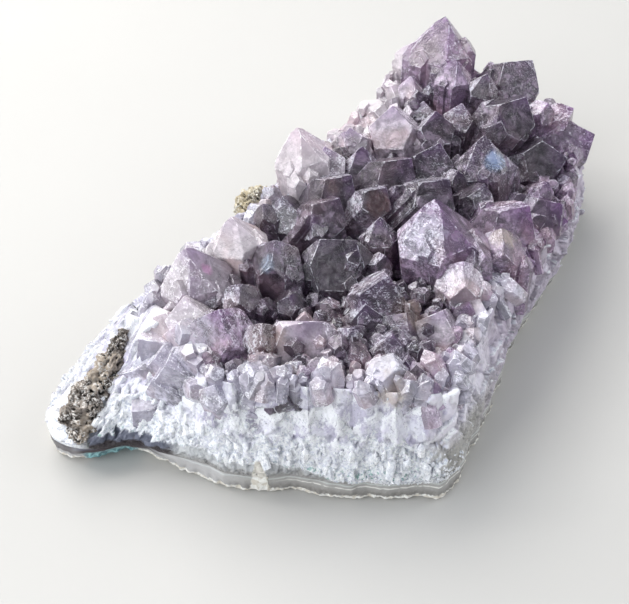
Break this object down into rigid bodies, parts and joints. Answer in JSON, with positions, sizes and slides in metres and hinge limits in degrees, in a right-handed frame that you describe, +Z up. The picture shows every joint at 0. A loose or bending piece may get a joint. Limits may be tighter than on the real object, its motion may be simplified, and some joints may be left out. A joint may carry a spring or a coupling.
{
  "type": "amethyst geode cluster",
  "caption": "Hand-sized amethyst druse: pointed purple crystals on milky columnar quartz, over a grey agate base with remnants of host rock.",
  "frame": {"origin": "centre of the bounding box in plan, at the flat underside that it rests on", "axes": "+Y along its length, towards the tallest peak; +X towards the long straight side; +Z up, the way the crystals grow"},
  "size_m": [0.0754, 0.14, 0.0411],
  "materials": {
    "grey_agate": "grey banded chalcedony with a waxy, broken edge and a cream rind",
    "milky_quartz": "milky white to pale lilac columnar quartz, sugary where it is broken",
    "amethyst": "see-through smoky purple quartz with smooth, lightly dusted faces",
    "brown_rock": "dark brown-grey pitted volcanic rock",
    "ochre_rock": "crumbly ochre weathered rock"
  },
  "bodies": {
    "root": {"agate_base": "grey_agate", "quartz_bed": "milky_quartz", "amethyst_crystals": "amethyst", "host_rock_end": "brown_rock", "host_rock_side": "ochre_rock"}
  },
  "joints": []
}
